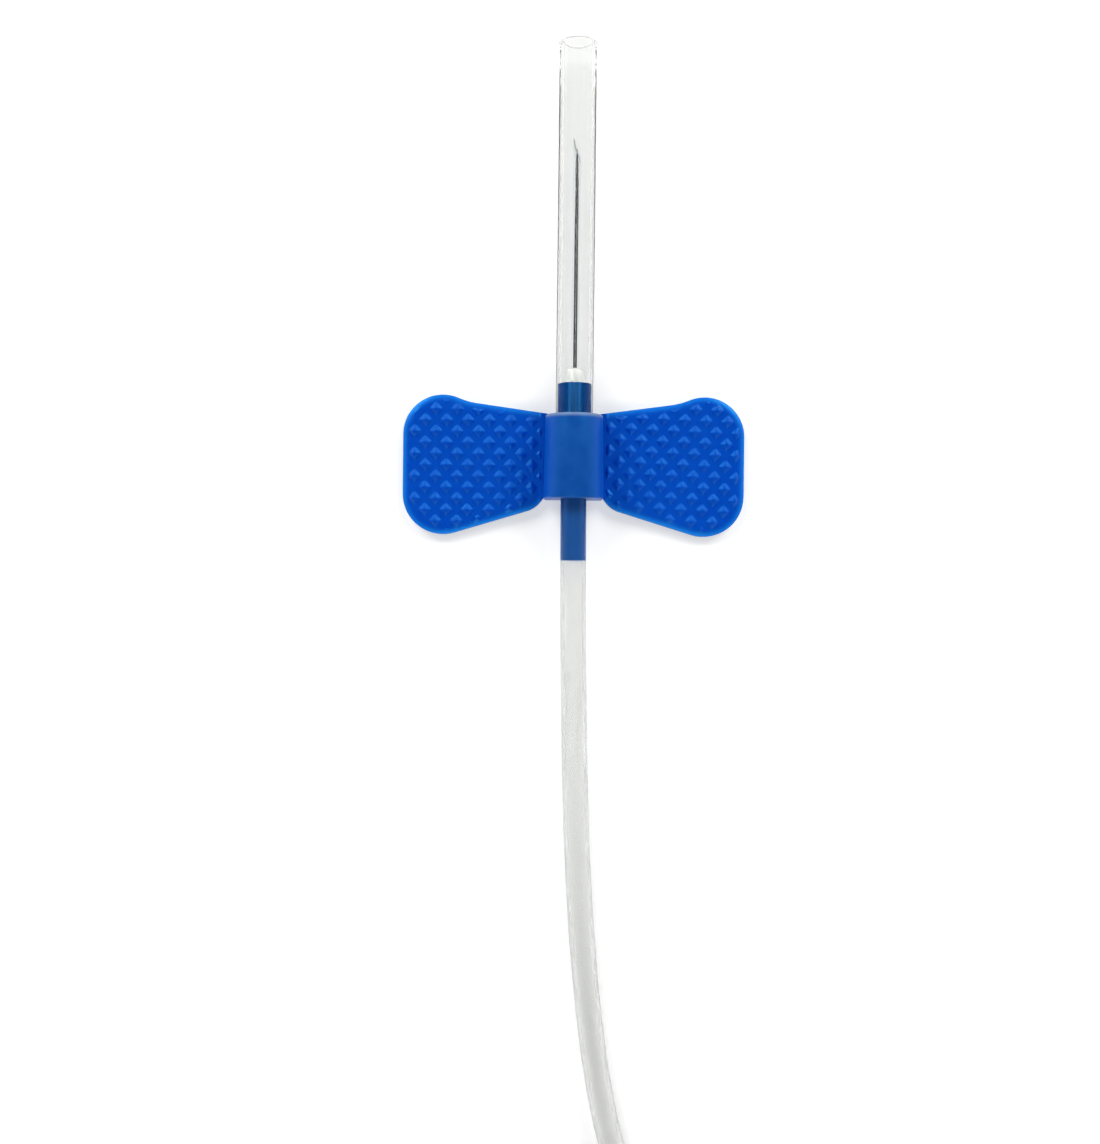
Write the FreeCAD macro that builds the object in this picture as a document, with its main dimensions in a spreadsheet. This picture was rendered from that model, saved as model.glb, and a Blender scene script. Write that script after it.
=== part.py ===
import FreeCAD, Part
import math
import os
import re

import Sketcher

# Winged blood collection set, lying on its wings, in millimetres.
# The origin is the middle of the flat underside, below the barrel. +Y is the way the needle points,
# +Z is up, and the knurled side of the wings faces up.

SIZES = [
    # Where the needle's line runs above the underside
    ("axis_height", 2.75),
    # Wing moulding: barrel
    ("barrel_front", 3.42),
    ("barrel_back", 3.7),
    ("barrel_front_radius", 2.42),
    ("barrel_rear_radius", 2.56),
    ("barrel_edge_bevel", 0.22),
    ("barrel_mouth_bevel", 0.35),
    # Wing moulding: wings, as half of the outline
    ("wing_thickness", 1.0),
    ("wing_half_span", 14.62),
    ("wing_root_inside", 1.9),
    ("wing_front_root", 3.64),
    ("wing_neck_out", 9.2),
    ("wing_neck_forward", 4.65),
    ("wing_ear_forward", 7.1),
    ("wing_heel_out", 3.22),
    ("wing_heel_back", 4.46),
    ("wing_heel_start", 2.69),
    ("wing_tail_back", 7.94),
    ("front_ear_radius", 3.4),
    ("rear_ear_radius", 3.45),
    ("neck_radius", 6.4),
    ("heel_radius", 2.4),
    ("rim_top_bevel", 0.4),
    ("rim_under_bevel", 0.15),
    ("flex_line", 3.1),
    # Knurl on the wings
    ("knurl_column_step", 0.91),
    ("knurl_row_step", 0.96),
    ("knurl_foot_width", 0.70),
    ("knurl_top_width", 0.12),
    ("knurl_height", 0.3),
    ("left_knurl_across", -9.97),
    ("left_knurl_along", 0.15),
    ("right_knurl_across", 12.13),
    ("right_knurl_along", 0.24),
    ("right_knurl_turn", -2.1),
    # Hub
    ("hub_front", 6.05),
    ("hub_seat_radius", 1.16),
    ("hub_core_radius", 1.72),
    ("hub_core_back", 1.3),
    ("spigot_back", 8.9),
    ("spigot_edge", 0.16),
    # Needle
    ("needle_radius", 0.32),
    ("needle_bore_radius", 0.17),
    ("needle_tip", 27.05),
    ("needle_tail", 2.4),
    ("bevel_angle", 15.0),
    ("side_grind_angle", 19.0),
    ("side_grind_turn", 38.0),
    ("bevel_turn", 72.0),
    ("bead_radius", 0.82),
    ("bead_height", 1.36),
    # Sheath
    ("sheath_wall", 0.4),
    ("sheath_end", 34.9),
    ("sheath_lip", 0.07),
    ("sheath_lip_length", 0.35),
    ("sheath_stop_gap", 0.05),
    # Tube
    ("tube_radius", 1.1),
    ("tube_bore_radius", 0.75),
    # Coil of the put-away length
    ("coil_turn_radius", 11.55),
    ("coil_band", 5.6),
    ("coil_height", 4.4),
    ("coil_middle_across", -3.0),
    ("coil_middle_along", -76.5),
    # Rear hub and what it carries
    ("rear_mouth_across", 9.8),
    ("rear_mouth_along", -88.5),
    ("rear_socket_depth", 6.5),
    ("rear_grip_length", 7.5),
    ("rear_grip_radius", 2.35),
    ("rear_rib_height", 0.4),
    ("rear_rib_width", 0.45),
    ("rear_rib_start", 0.9),
    ("flange_radius", 4.2),
    ("flange_thickness", 1.1),
    ("thread_length", 5.6),
    ("thread_crest_radius", 3.75),
    ("cap_seat_radius", 2.45),
    ("cap_seat_length", 4.0),
    ("nose_radius", 1.2),
    ("nose_length", 1.8),
    ("flow_bore_radius", 0.6),
    ("rear_needle_radius", 0.41),
    ("rear_needle_bore_radius", 0.27),
    ("rear_needle_reach", 12.5),
    ("rear_needle_seat", 7.0),
    ("rear_bevel_angle", 24.0),
    ("rear_bead_radius", 0.75),
    ("rear_bead_height", 0.5),
    ("rubber_wall", 0.42),
    ("rubber_tip_bevel", 0.3),
    ("rubber_tip_thickness", 0.65),
    ("rubber_bore_radius", 0.75),
    ("rubber_length", 15.2),
    ("cap_wall", 0.6),
    ("cap_seat_step", 0.25),
    ("cap_tip_bevel", 0.5),
    ("cap_tip_gap", 0.8),
    ("cap_rib_height", 0.3),
    ("cap_rib_width", 0.4),
    ("cap_rib_start", 1.0),
    ("cap_rib_length", 7.0),
    # Clearances
    ("bond_gap", 0.01),
    ("seat_clearance", 0.02),
]

doc = FreeCAD.newDocument("blood_collection_needle")
sheet = doc.addObject("Spreadsheet::Sheet", "Sizes")
for row, (alias, number) in enumerate(SIZES, start=1):
    sheet.set(f"A{row}", alias)
    sheet.set(f"B{row}", str(number))
    sheet.setAlias(f"B{row}", alias)
doc.recompute()

NAMES = [alias for alias, number in SIZES]
SUB_PARTS = []


def size(name):
    return float(sheet.get(name))


def on_sheet(expression):
    """Write every size's name in an expression as a reference to the sheet."""
    return re.sub("[a-z_]+", lambda word: f"Sizes.{word[0]}" if word[0] in NAMES else word[0], expression)


def amount(expression):
    """The number that an expression on the sheet gives."""
    found = sheet.evalExpression(on_sheet(expression))
    return float(getattr(found, "Value", found))


def tie(feature, prop, expression):
    feature.setExpression(prop, on_sheet(expression))


def new_body(label):
    body = doc.addObject("PartDesign::Body", label)
    body.Label = label
    SUB_PARTS.append(body)
    return body


def plane_of(body, role):
    return next(item for item in body.Origin.OriginFeatures if item.Role == role)


def new_sketch(body, name, role="XY_Plane", lift=None):
    """A sketch on one of its body's origin planes, lifted by an expression if one is given."""
    sketch = body.newObject("Sketcher::SketchObject", name)
    sketch.AttachmentSupport = [(plane_of(body, role), "")]
    sketch.MapMode = "FlatFace"
    if lift:
        tie(sketch, ".AttachmentOffset.Base.z", lift)
    return sketch


def outline(sketch, corners):
    """Closed chain of lines whose corners are pairs of expressions, each tied to the sheet."""
    spots = [FreeCAD.Vector(amount(x), amount(y), 0) for x, y in corners]
    first = sketch.GeometryCount
    count = len(spots)
    for index, spot in enumerate(spots):
        sketch.addGeometry(Part.LineSegment(spot, spots[(index + 1) % count]), False)
    for index, (x, y) in enumerate(corners):
        line = first + index
        after = first + (index + 1) % count
        sketch.addConstraint(Sketcher.Constraint("Coincident", line, 2, after, 1))
        for kind, expression in (("DistanceX", x), ("DistanceY", y)):
            where = sketch.addConstraint(Sketcher.Constraint(kind, line, 1, amount(expression)))
            tie(sketch, f"Constraints[{where}]", expression)


def revolve(body, name, corners):
    """Turned form about the body's Y axis. Each corner is a radius and a place along Y."""
    sketch = new_sketch(body, name + "_profile")
    outline(sketch, corners)
    turned = body.newObject("PartDesign::Revolution", name)
    turned.Profile = sketch
    turned.ReferenceAxis = (sketch, ["V_Axis"])
    turned.Angle = 360
    doc.recompute()
    return turned


def pad(body, name, sketch, length):
    solid = body.newObject("PartDesign::Pad", name)
    solid.Profile = sketch
    tie(solid, "Length", length)
    doc.recompute()
    return solid


def cut_through(body, name, sketch):
    """Pocket through everything, both ways from its sketch."""
    pocket = body.newObject("PartDesign::Pocket", name)
    pocket.Profile = sketch
    pocket.Type = "ThroughAll"
    pocket.Midplane = True
    before = body.Shape.Volume
    doc.recompute()
    print(f"{name}: cut {before - pocket.Shape.Volume:.3f} mm3")
    return pocket


def rounded(body, name, base, subs, radius):
    fillet = body.newObject("PartDesign::Fillet", name)
    fillet.Base = (base, subs)
    tie(fillet, "Radius", radius)
    doc.recompute()
    return fillet


def bevelled(body, name, base, subs, width):
    chamfer = body.newObject("PartDesign::Chamfer", name)
    chamfer.Base = (base, subs)
    tie(chamfer, "Size", width)
    doc.recompute()
    return chamfer


def upright_edge(shape, x, y):
    """Name of the upright straight edge that stands nearest to a point."""
    best = None
    for index, edge in enumerate(shape.Edges, start=1):
        low, high = edge.Vertexes[0].Point, edge.Vertexes[-1].Point
        if math.hypot(low.x - high.x, low.y - high.y) > 1e-6:
            continue
        reach = math.hypot(low.x - x, low.y - y)
        if best is None or reach < best[0]:
            best = (reach, f"Edge{index}")
    return best[1]


def level_face(shape, height):
    """Name of the largest level face at a height."""
    best = None
    for index, face in enumerate(shape.Faces, start=1):
        box = face.BoundBox
        if box.ZLength > 1e-6 or abs(box.ZMin - height) > 1e-6:
            continue
        if best is None or face.Area > best[0]:
            best = (face.Area, f"Face{index}")
    return best[1]


def raise_to(body, expression):
    tie(body, ".Placement.Base.z", expression)


# Hub: a turned stick of three diameters, with the needle's bore through it

def make_hub():
    body = new_body("needle_hub")
    revolve(body, "hub_stick", [
        ("needle_radius + bond_gap", "hub_front"),
        ("hub_seat_radius", "hub_front"),
        ("hub_seat_radius", "barrel_front - barrel_mouth_bevel"),
        ("hub_core_radius", "barrel_front - barrel_mouth_bevel"),
        ("hub_core_radius", "0 - hub_core_back"),
        ("tube_bore_radius - bond_gap", "0 - hub_core_back"),
        ("tube_bore_radius - bond_gap", "spigot_edge - spigot_back"),
        ("tube_bore_radius - bond_gap - spigot_edge", "0 - spigot_back"),
        ("needle_radius + bond_gap", "0 - spigot_back"),
    ])
    raise_to(body, "axis_height")


# Needle: a tube ground with one long bevel and two side facets at the point

def make_needle():
    body = new_body("needle")
    revolve(body, "cannula", [
        ("needle_bore_radius", "needle_tip"),
        ("needle_radius", "needle_tip"),
        ("needle_radius", "needle_tail"),
        ("needle_bore_radius", "needle_tail"),
    ])
    grind(body, "main_bevel", "needle_radius", "bevel_angle", 0, "needle_tip")
    for side in (-1, 1):
        name = "left_facet" if side < 0 else "right_facet"
        grind(body, name, "needle_radius", "side_grind_angle", side, "needle_tip")
    raise_to(body, "axis_height")
    tie(body, ".Placement.Rotation.Angle", "bevel_turn")
    body.Placement.Rotation.Axis = FreeCAD.Vector(0, 1, 0)


def grind(body, name, radius, angle, side, tip):
    """Cut the point off along a plane that passes through its lowest line, turned to one side."""
    sketch = body.newObject("Sketcher::SketchObject", name + "_profile")
    sketch.AttachmentSupport = [(plane_of(body, "YZ_Plane"), "")]
    sketch.MapMode = "FlatFace"
    turned = f"{side} * side_grind_turn"
    sketch.AttachmentOffset = FreeCAD.Placement(FreeCAD.Vector(), FreeCAD.Rotation(FreeCAD.Vector(1, 0, 0), 0))
    tie(sketch, ".AttachmentOffset.Rotation.Angle", turned)
    low = f"0 - {radius}"
    back = f"{tip} - 2 * {radius} / tan({angle})"
    beyond = f"{tip} + 3 * {radius}"
    high = f"2 * {radius}"
    outline(sketch, [(tip, low), (beyond, low), (beyond, high), (back, high), (back, radius)])
    cut_through(body, name, sketch)


# Bead of adhesive round the needle where it leaves the hub

def make_bead(label, foot, way, radius, height, needle, lift, place):
    """Domed bead on a face at foot, pointing along way (1 or -1), with the needle's hole in it."""
    body = new_body(label)
    steps = 2
    arc = []
    for step in range(steps):
        share = f"{step} / {steps}"
        out = f"{radius} + ( {needle} - {radius} ) * {share}"
        along = f"{foot} + {way} * {height} * sqrt(1 - ( {out} ) ^ 2 / {radius} ^ 2)"
        arc.append((out, along))
    crown = f"{foot} + {way} * {height} * sqrt(1 - {needle} ^ 2 / {radius} ^ 2)"
    revolve(body, label + "_dome", [(needle, foot)] + arc + [(needle, crown)])
    raise_to(body, lift)
    place(body)


# Sheath: open clear tube over the needle, seated on the hub's front

def make_sheath():
    body = new_body("needle_sheath")
    inner = "hub_seat_radius + seat_clearance"
    outer = f"{inner} + sheath_wall"
    foot = "barrel_front + sheath_stop_gap"
    revolve(body, "sheath_tube", [
        (inner, foot),
        (outer, foot),
        (outer, "sheath_end - sheath_lip_length"),
        (f"{outer} + sheath_lip", "sheath_end - sheath_lip_length / 3"),
        (f"{outer} + sheath_lip / 2", "sheath_end"),
        (inner, "sheath_end"),
    ])
    raise_to(body, "axis_height")


# Wing moulding. Each wing's plate is drawn whole, from inside the barrel to the tip, and is then
# divided at the flex line: the root stays on the barrel and the rest folds up.

def wing_plate(side):
    """Plate with rounded ears, neck, heel and rim. side is 1 for the right wing and -1 for the left."""
    name = "right" if side > 0 else "left"
    body = doc.addObject("PartDesign::Body", name + "_plate")
    corners = [
        ("wing_root_inside", "wing_front_root"),
        ("wing_neck_out", "wing_neck_forward"),
        ("wing_half_span", "wing_ear_forward"),
        ("wing_half_span", "0 - wing_tail_back"),
        ("wing_heel_out", "0 - wing_heel_back"),
        ("wing_root_inside", "0 - wing_heel_start"),
    ]
    sketch = new_sketch(body, name + "_outline")
    outline(sketch, [(f"{side} * {x}", y) for x, y in corners])
    solid = pad(body, name + "_blank", sketch, "wing_thickness")
    rounds = [("neck", 1, "neck_radius"), ("front_ear", 2, "front_ear_radius"),
              ("rear_ear", 3, "rear_ear_radius"), ("heel", 4, "heel_radius")]
    for word, corner, radius in rounds:
        x, y = corners[corner]
        edge = upright_edge(solid.Shape, side * amount(x), amount(y))
        solid = rounded(body, f"{name}_{word}", solid, [edge], radius)
    top = level_face(solid.Shape, size("wing_thickness"))
    solid = bevelled(body, name + "_rim", solid, [top], "rim_top_bevel")
    bevelled(body, name + "_under_rim", solid, [level_face(solid.Shape, 0)], "rim_under_bevel")
    return body


def root_block(side):
    """Block that holds everything of a wing's plate between the middle and the flex line."""
    block = doc.addObject("Part::Box", "right_root_block" if side > 0 else "left_root_block")
    tie(block, "Length", "flex_line")
    tie(block, "Width", "wing_half_span * 2")
    tie(block, "Height", "wing_thickness * 3")
    if side < 0:
        tie(block, ".Placement.Base.x", "0 - flex_line")
    tie(block, ".Placement.Base.y", "0 - wing_half_span")
    tie(block, ".Placement.Base.z", "0 - wing_thickness")
    return block


def boolean(kind, label, first, second):
    joined = doc.addObject(kind, label)
    if kind == "Part::MultiFuse":
        joined.Shapes = [first] + list(second)
    else:
        joined.Base = first
        joined.Tool = second
    doc.recompute()
    return joined


def knurl_field(side, plate):
    """Block over the flat of the wing's top, up to the knurl's crests. The flat ends at the rim."""
    name = "right_field" if side > 0 else "left_field"
    body = doc.addObject("PartDesign::Body", name)
    flat = body.newObject("PartDesign::SubShapeBinder", name + "_flat")
    flat.Support = [(plate, level_face(plate.Shape, size("wing_thickness")))]
    doc.recompute()
    pad(body, name + "_block", flat, "knurl_height + bond_gap")
    raise_to(body, "0 - bond_gap")
    doc.recompute()
    return body


def ridges(name, anchor, heading):
    """Row of straight ridges across the wing. Where two such rows cross, they leave the pyramids."""
    column, row = size("knurl_column_step"), size("knurl_row_step")
    pitch = 2 * column * row / math.hypot(column, row)
    count = int(size("wing_half_span") * math.sqrt(2) / 2 / pitch) + 2
    low, high = -size("bond_gap"), size("knurl_height")
    foot, top = size("knurl_foot_width") / 2, size("knurl_top_width") / 2
    profile = doc.addObject("Sketcher::SketchObject", name + "_profile")
    along = FreeCAD.Vector(math.cos(math.radians(heading)), math.sin(math.radians(heading)), 0)
    across = FreeCAD.Vector(0, 0, 1).cross(along)
    profile.Placement = FreeCAD.Placement(anchor, FreeCAD.Rotation(across, FreeCAD.Vector(0, 0, 1), along, "ZXY"))
    tie(profile, ".Placement.Base.z", "wing_thickness")
    for index in range(-count, count + 1):
        middle = index * pitch
        corners = [(middle - foot, low), (middle + foot, low), (middle + top, high), (middle - top, high)]
        spots = [FreeCAD.Vector(x, y, 0) for x, y in corners]
        for corner in range(4):
            profile.addGeometry(Part.LineSegment(spots[corner], spots[(corner + 1) % 4]), False)
    row_of_ridges = doc.addObject("Part::Extrusion", name)
    row_of_ridges.Base = profile
    row_of_ridges.DirMode = "Normal"
    row_of_ridges.Solid = True
    row_of_ridges.Symmetric = True
    tie(row_of_ridges, "LengthFwd", "wing_half_span * 2")
    doc.recompute()
    return row_of_ridges


def make_wing(label, side, plate, block, anchor, turn):
    """One wing: its plate beyond the flex line, with the pyramids raised on its top."""
    blade = boolean("Part::Cut", label + "_blade", plate, block)
    lean = math.degrees(math.atan2(size("knurl_row_step"), size("knurl_column_step")))
    one_way = ridges(label + "_ridges", anchor, turn + lean)
    other_way = ridges(label + "_cross_ridges", anchor, turn - lean)
    field = boolean("Part::Cut", label + "_field", knurl_field(side, plate), block)
    strips = boolean("Part::Common", label + "_strips", field, one_way)
    knurl = boolean("Part::Common", label + "_knurl", strips, other_way)
    print(f"{label}: {len(knurl.Shape.Solids)} pyramids, {knurl.Shape.Volume:.3f} mm3")
    wing = boolean("Part::MultiFuse", label, blade, [knurl])
    SUB_PARTS.append(wing)


def make_barrel():
    """Round barrel on a flat foot, narrower at the front, with its stepped bore."""
    body = doc.addObject("PartDesign::Body", "barrel")
    sketch = new_sketch(body, "barrel_foot_outline")
    outline(sketch, [
        ("0 - barrel_rear_radius", "0 - barrel_back"),
        ("barrel_rear_radius", "0 - barrel_back"),
        ("barrel_front_radius", "barrel_front"),
        ("0 - barrel_front_radius", "barrel_front"),
    ])
    pad(body, "barrel_foot", sketch, "axis_height")
    revolved = new_sketch(body, "barrel_round_outline", lift="axis_height")
    outline(revolved, [
        ("0", "0 - barrel_back"),
        ("barrel_rear_radius", "0 - barrel_back"),
        ("barrel_front_radius", "barrel_front"),
        ("0", "barrel_front"),
    ])
    turned = body.newObject("PartDesign::Revolution", "barrel_round")
    turned.Profile = revolved
    turned.ReferenceAxis = (revolved, ["V_Axis"])
    turned.Angle = 360
    doc.recompute()
    ends = [f"Face{index}" for index, face in enumerate(turned.Shape.Faces, start=1)
            if face.BoundBox.YLength < 1e-6]
    bevelled(body, "barrel_ends", turned, ends, "barrel_edge_bevel")
    bore = new_sketch(body, "bore_outline", lift="axis_height")
    outline(bore, [
        ("0", "barrel_front * 2"),
        ("hub_core_radius + bond_gap + barrel_mouth_bevel * 2", "barrel_front + barrel_mouth_bevel"),
        ("hub_core_radius + bond_gap", "barrel_front - barrel_mouth_bevel"),
        ("hub_core_radius + bond_gap", "0 - hub_core_back"),
        ("tube_radius + bond_gap", "0 - hub_core_back"),
        ("tube_radius + bond_gap", "0 - barrel_back * 2"),
        ("0", "0 - barrel_back * 2"),
    ])
    groove = body.newObject("PartDesign::Groove", "stepped_bore")
    groove.Profile = bore
    groove.ReferenceAxis = (bore, ["V_Axis"])
    groove.Angle = 360
    before = body.Shape.Volume
    doc.recompute()
    print(f"stepped_bore: cut {before - groove.Shape.Volume:.3f} mm3")
    return body


def make_wing_moulding():
    plates = {side: wing_plate(side) for side in (-1, 1)}
    blocks = {side: root_block(side) for side in (-1, 1)}
    doc.recompute()
    roots = [boolean("Part::Common", name, plates[side], blocks[side])
             for name, side in (("left_root", -1), ("right_root", 1))]
    SUB_PARTS.append(boolean("Part::MultiFuse", "wing_sleeve", make_barrel(), roots))
    left_anchor = FreeCAD.Vector(size("left_knurl_across"), size("left_knurl_along"), 0)
    right_anchor = FreeCAD.Vector(size("right_knurl_across"), size("right_knurl_along"), 0)
    make_wing("left_wing", -1, plates[-1], blocks[-1], left_anchor, 0.0)
    make_wing("right_wing", 1, plates[1], blocks[1], right_anchor, size("right_knurl_turn"))


# Tube: straight runs joined by arcs that are as large as the runs allow

FLOOR = size("tube_radius")
AXIS = size("axis_height")
REAR_MOUTH = FreeCAD.Vector(size("rear_mouth_across"), size("rear_mouth_along"), size("flange_radius"))

TUBE_ROUTE = [
    (0.0, -size("hub_core_back"), AXIS),
    (0.0, -15.0, AXIS),
    (0.85, -41.0, FLOOR),
    (3.5, -59.8, FLOOR),
    (8.75, -69.3, FLOOR),
]
END_ROUTE = [
    (9.75, -71.45, 3.3),
    (REAR_MOUTH.x, -83.2, REAR_MOUTH.z),
    (REAR_MOUTH.x, REAR_MOUTH.y - size("rear_socket_depth") + size("bond_gap"), REAR_MOUTH.z),
]


def smooth_path(points, label):
    """Wire of straight runs and tangent arcs, each arc 0.45 of its shorter run along the runs."""
    spots = [FreeCAD.Vector(*point) for point in points]
    edges = []
    radii = []
    at = spots[0]
    for before, corner, after in zip(spots, spots[1:], spots[2:]):
        back, ahead = before - corner, after - corner
        reach = 0.45 * min(back.Length, ahead.Length)
        turn = math.pi - back.getAngle(ahead)
        back.normalize()
        ahead.normalize()
        start, end = corner + back * reach, corner + ahead * reach
        radius = reach / math.tan(turn / 2)
        inward = (back + ahead).normalize()
        middle = corner + inward * (radius / math.cos(turn / 2) - radius)
        edges.append(Part.LineSegment(at, start).toShape())
        edges.append(Part.Arc(start, middle, end).toShape())
        radii.append(round(radius, 1))
        at = end
    edges.append(Part.LineSegment(at, spots[-1]).toShape())
    print(f"{label}: bend radii {radii}")
    return Part.Wire(edges)


def swept_rod(path, radius):
    start = path.Edges[0]
    heading = start.tangentAt(start.FirstParameter)
    ring = Part.Wire(Part.makeCircle(radius, start.valueAt(start.FirstParameter), heading))
    return path.makePipeShell([ring], True, False)


def make_tube(label, points, bore_depth=0):
    """Plain rod along the route. Its bore is cut only as deep as the spigot that fills it."""
    path = smooth_path(points, label)
    solid = swept_rod(path, size("tube_radius"))
    expected = math.pi * size("tube_radius") ** 2 * path.Length
    print(f"{label}: length {path.Length:.2f} mm, volume {solid.Volume:.2f}, section by length {expected:.2f}")
    if bore_depth:
        mouth, ahead = (FreeCAD.Vector(*point) for point in points[:2])
        solid = solid.cut(Part.makeCylinder(size("tube_bore_radius"), bore_depth, mouth, ahead - mouth))
    tube = doc.addObject("Part::Feature", label)
    tube.Shape = solid
    tube.Label = label
    SUB_PARTS.append(tube)


def make_coil():
    """Outer shape of the wound turns: a flat ring."""
    body = new_body("tubing_coil")
    inner = "coil_turn_radius - coil_band / 2"
    outer = "coil_turn_radius + coil_band / 2"
    sketch = new_sketch(body, "coil_profile", "XZ_Plane")
    outline(sketch, [(inner, "0"), (outer, "0"), (outer, "coil_height"), (inner, "coil_height")])
    ring = body.newObject("PartDesign::Revolution", "coil_ring")
    ring.Profile = sketch
    ring.ReferenceAxis = (sketch, ["V_Axis"])
    ring.Angle = 360
    tie(body, ".Placement.Base.x", "coil_middle_across")
    tie(body, ".Placement.Base.y", "coil_middle_along")
    doc.recompute()


# Rear hub: ribbed grip with the tube's socket, flange, threaded length, cap seat and nose. The coarse
# thread is drawn as its crests' envelope. Places along the hub are counted back from the socket's mouth.

GRIP_RIBS = 8
CAP_RIBS = 8
FLANGE_BACK = "( rear_grip_length + flange_thickness )"
THREAD_BACK = "( rear_grip_length + flange_thickness + thread_length )"
SEAT_BACK = "( rear_grip_length + flange_thickness + thread_length + cap_seat_length )"
NOSE_BACK = "( rear_grip_length + flange_thickness + thread_length + cap_seat_length + nose_length )"
NEEDLE_POINT = f"( {NOSE_BACK} + rear_needle_reach )"


def to_rear(body):
    tie(body, ".Placement.Base.x", "rear_mouth_across")
    tie(body, ".Placement.Base.y", "rear_mouth_along")
    tie(body, ".Placement.Base.z", "flange_radius")


def ribs(body, name, root, crest, width, front, back, count):
    """Lengthwise ribs round a turned piece, from one pad and a polar pattern."""
    sketch = new_sketch(body, name + "_foot")
    outline(sketch, [(root, front), (crest, front), (crest, back), (root, back)])
    rib = pad(body, name, sketch, width)
    rib.Midplane = True
    doc.recompute()
    pattern = body.newObject("PartDesign::PolarPattern", name + "_ring")
    pattern.Originals = [rib]
    pattern.Axis = (sketch, ["V_Axis"])
    pattern.Angle = 360
    pattern.Occurrences = count
    body.Tip = pattern
    doc.recompute()


def make_rear_hub():
    body = new_body("rear_hub")
    socket = "tube_radius + bond_gap"
    needle_hole = "rear_needle_radius + bond_gap"
    revolve(body, "rear_stick", [
        (socket, "0"),
        ("rear_grip_radius", "0"),
        ("rear_grip_radius", "0 - rear_grip_length"),
        ("flange_radius", "0 - rear_grip_length"),
        ("flange_radius", f"0 - {FLANGE_BACK}"),
        ("thread_crest_radius", f"0 - {FLANGE_BACK}"),
        ("thread_crest_radius", f"0 - {THREAD_BACK}"),
        ("cap_seat_radius", f"0 - {THREAD_BACK}"),
        ("cap_seat_radius", f"0 - {SEAT_BACK}"),
        ("nose_radius", f"0 - {SEAT_BACK}"),
        ("nose_radius", f"0 - {NOSE_BACK}"),
        (needle_hole, f"0 - {NOSE_BACK}"),
        (needle_hole, f"rear_needle_seat - {NOSE_BACK}"),
        ("flow_bore_radius", f"rear_needle_seat - {NOSE_BACK}"),
        ("flow_bore_radius", "0 - rear_socket_depth"),
        (socket, "0 - rear_socket_depth"),
    ])
    ribs(body, "grip_rib", "( tube_radius + bond_gap + rear_grip_radius ) / 2",
         "rear_grip_radius + rear_rib_height", "rear_rib_width", "0 - rear_rib_start", "0 - rear_grip_length",
         GRIP_RIBS)
    to_rear(body)


def make_rear_needle():
    body = new_body("rear_needle")
    revolve(body, "rear_cannula", [
        ("rear_needle_bore_radius", f"rear_needle_seat - {NOSE_BACK}"),
        ("rear_needle_radius", f"rear_needle_seat - {NOSE_BACK}"),
        ("rear_needle_radius", f"0 - {NEEDLE_POINT}"),
        ("rear_needle_bore_radius", f"0 - {NEEDLE_POINT}"),
    ])
    sketch = new_sketch(body, "rear_bevel_profile", "YZ_Plane")
    point = f"0 - {NEEDLE_POINT}"
    beyond = f"{point} - 3 * rear_needle_radius"
    back = f"2 * rear_needle_radius / tan(rear_bevel_angle) - {NEEDLE_POINT}"
    outline(sketch, [(point, "0 - rear_needle_radius"), (beyond, "0 - rear_needle_radius"),
                     (beyond, "rear_needle_radius * 2"), (back, "rear_needle_radius * 2"),
                     (back, "rear_needle_radius")])
    cut_through(body, "rear_bevel", sketch)
    to_rear(body)


def make_rubber_sleeve():
    body = new_body("rubber_sleeve")
    grip = "nose_radius + seat_clearance"
    shank = "rubber_bore_radius + rubber_wall"
    end = f"0 - {SEAT_BACK} - rubber_length"
    revolve(body, "rubber_tube", [
        (grip, f"0 - {SEAT_BACK} - seat_clearance"),
        (f"{grip} + rubber_wall", f"0 - {SEAT_BACK} - seat_clearance"),
        (f"{grip} + rubber_wall", f"0 - {NOSE_BACK} - rubber_wall"),
        (shank, f"0 - {NOSE_BACK} - rubber_wall * 2"),
        (shank, f"{end} + rubber_tip_bevel"),
        (f"{shank} - rubber_tip_bevel", end),
        ("0", end),
        ("0", f"{end} + rubber_tip_thickness"),
        ("rubber_bore_radius", f"{end} + rubber_tip_thickness"),
        ("rubber_bore_radius", f"0 - {NOSE_BACK} - rear_bead_height - seat_clearance"),
        (grip, f"0 - {NOSE_BACK} - rear_bead_height - seat_clearance"),
    ])
    to_rear(body)


def make_rear_cap():
    body = new_body("rear_cap")
    mouth = "cap_seat_radius + seat_clearance"
    bore = f"{mouth} - cap_seat_step"
    inside = f"0 - {SEAT_BACK} - rubber_length - cap_tip_gap"
    end = f"{inside} - cap_wall"
    revolve(body, "cap_tube", [
        (mouth, f"0 - {THREAD_BACK} - sheath_stop_gap"),
        (f"{mouth} + cap_wall", f"0 - {THREAD_BACK} - sheath_stop_gap"),
        (f"{mouth} + cap_wall", f"{end} + cap_tip_bevel"),
        (f"{mouth} + cap_wall - cap_tip_bevel", end),
        ("0", end),
        ("0", inside),
        (bore, inside),
        (bore, f"0 - {SEAT_BACK} - seat_clearance"),
        (mouth, f"0 - {SEAT_BACK} - seat_clearance"),
    ])
    ribs(body, "cap_rib", f"{mouth} + cap_wall / 2", f"{mouth} + cap_wall + cap_rib_height", "cap_rib_width",
         f"0 - {THREAD_BACK} - cap_rib_start", f"0 - {THREAD_BACK} - cap_rib_start - cap_rib_length", CAP_RIBS)
    to_rear(body)


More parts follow.
